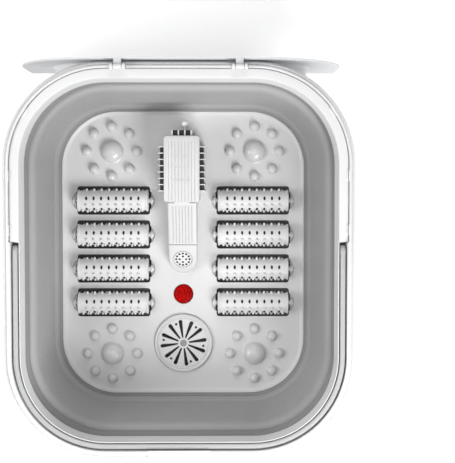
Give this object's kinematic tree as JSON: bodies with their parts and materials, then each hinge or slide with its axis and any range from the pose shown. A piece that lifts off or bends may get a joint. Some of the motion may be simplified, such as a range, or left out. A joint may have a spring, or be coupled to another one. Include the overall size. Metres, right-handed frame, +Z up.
{
  "type": "foot spa basin",
  "caption": "Collapsible foot spa tub on a heated base, with massage rollers, nubs, a water jet, a herb box, a folding handle and a hinged half cover.",
  "frame": {"origin": "on the surface that the feet stand on, under the centre of the rim", "axes": "+Z up, +Y to the rear where the pump housing stands, +X to the right seen from the front"},
  "size_m": [0.373, 0.424, 0.2112],
  "materials": {
    "white_plastic": "satin moulded",
    "grey_plastic": "fine matt texture",
    "roller_plastic": "satin moulded",
    "soft_grey": "soft matt",
    "clear_cover": "translucent, polished",
    "dark_plastic": "gloss",
    "red_lens": "clear red",
    "steel": "plain",
    "aluminium_plate": "plain",
    "board": "lacquered",
    "rubber": "matt"
  },
  "bodies": {
    "base": {"base_screw_1": "steel", "base_screw_2": "steel", "base_screw_3": "steel", "base_screw_4": "steel", "base_shell": "white_plastic", "bottom_cover": "white_plastic", "circuit_board": "board", "control_panel": "dark_plastic", "display_window": "red_lens", "floor_tray": "grey_plastic", "foot_1": "rubber", "foot_2": "rubber", "foot_3": "rubber", "foot_4": "rubber", "heater": "aluminium_plate", "herb_cup": "grey_plastic", "lamp_board": "board", "light_lens": "red_lens", "lower_seal": "soft_grey", "nozzle_ramp": "white_plastic", "nozzle_sieve": "grey_plastic", "power_inlet": "dark_plastic", "pump_housing": "white_plastic", "pump_motor": "steel", "side_panel": "soft_grey", "temperature_probe": "steel"},
    "rim": {"rim_frame": "white_plastic", "rim_trim": "white_plastic", "upper_fold": "soft_grey", "cover_pin_left": "steel", "cover_pin_right": "steel", "handle_pin_left": "steel", "handle_pin_right": "steel"},
    "handle": {"handle": "white_plastic"},
    "cover": {"cover": "clear_cover"},
    "impeller": {"pump_impeller": "dark_plastic"},
    "herb_lid": {"herb_lid": "grey_plastic"},
    "roller_1": {"roller_1": "roller_plastic"},
    "roller_2": {"roller_2": "roller_plastic"},
    "roller_3": {"roller_3": "roller_plastic"},
    "roller_4": {"roller_4": "roller_plastic"},
    "roller_5": {"roller_5": "roller_plastic"},
    "roller_6": {"roller_6": "roller_plastic"},
    "roller_7": {"roller_7": "roller_plastic"},
    "roller_8": {"roller_8": "roller_plastic"},
    "power_button": {"power_button": "white_plastic"},
    "heat_button": {"heat_button": "white_plastic"},
    "bubble_button": {"bubble_button": "white_plastic"},
    "light_button": {"light_button": "white_plastic"}
  },
  "joints": [
    {"name": "rim_collapse", "type": "slide", "parent": "base", "child": "rim", "axis": [0, 0, 1], "range_m": [-0.026, 0], "deforming": ["upper_fold"]},
    {"name": "handle_lift", "type": "hinge", "parent": "rim", "child": "handle", "pos_m": [0, 0.01, 0.19], "axis": [-1, 0, 0], "range_deg": [0, 100]},
    {"name": "cover_hinge", "type": "hinge", "parent": "rim", "child": "cover", "pos_m": [0, 0.203, 0.208], "axis": [1, 0, 0], "range_deg": [0, 270]},
    {"name": "impeller_spin", "type": "hinge", "parent": "base", "child": "impeller", "pos_m": [0, 0.098, 0.057], "axis": [0, 0, 1], "continuous": true},
    {"name": "herb_lid_lift", "type": "slide", "parent": "base", "child": "herb_lid", "axis": [0, 0, 1], "range_m": [0, 0.03]},
    {"name": "roller_1_spin", "type": "hinge", "parent": "base", "child": "roller_1", "pos_m": [-0.0824, 0.062, 0.0565], "axis": [1, 0, 0], "continuous": true},
    {"name": "roller_2_spin", "type": "hinge", "parent": "base", "child": "roller_2", "pos_m": [-0.0824, 0.0217, 0.0565], "axis": [1, 0, 0], "continuous": true},
    {"name": "roller_3_spin", "type": "hinge", "parent": "base", "child": "roller_3", "pos_m": [-0.0824, -0.0187, 0.0565], "axis": [1, 0, 0], "continuous": true},
    {"name": "roller_4_spin", "type": "hinge", "parent": "base", "child": "roller_4", "pos_m": [-0.0824, -0.059, 0.0565], "axis": [1, 0, 0], "continuous": true},
    {"name": "roller_5_spin", "type": "hinge", "parent": "base", "child": "roller_5", "pos_m": [0.0824, 0.062, 0.0565], "axis": [1, 0, 0], "continuous": true},
    {"name": "roller_6_spin", "type": "hinge", "parent": "base", "child": "roller_6", "pos_m": [0.0824, 0.0217, 0.0565], "axis": [1, 0, 0], "continuous": true},
    {"name": "roller_7_spin", "type": "hinge", "parent": "base", "child": "roller_7", "pos_m": [0.0824, -0.0187, 0.0565], "axis": [1, 0, 0], "continuous": true},
    {"name": "roller_8_spin", "type": "hinge", "parent": "base", "child": "roller_8", "pos_m": [0.0824, -0.059, 0.0565], "axis": [1, 0, 0], "continuous": true},
    {"name": "power_press", "type": "slide", "parent": "base", "child": "power_button", "axis": [0, 1, 0], "range_m": [0, 0.001], "stiffness_N_per_m": 400},
    {"name": "heat_press", "type": "slide", "parent": "base", "child": "heat_button", "axis": [0, 1, 0], "range_m": [0, 0.001], "stiffness_N_per_m": 400},
    {"name": "bubble_press", "type": "slide", "parent": "base", "child": "bubble_button", "axis": [0, 1, 0], "range_m": [0, 0.001], "stiffness_N_per_m": 400},
    {"name": "light_press", "type": "slide", "parent": "base", "child": "light_button", "axis": [0, 1, 0], "range_m": [0, 0.001], "stiffness_N_per_m": 400}
  ]
}
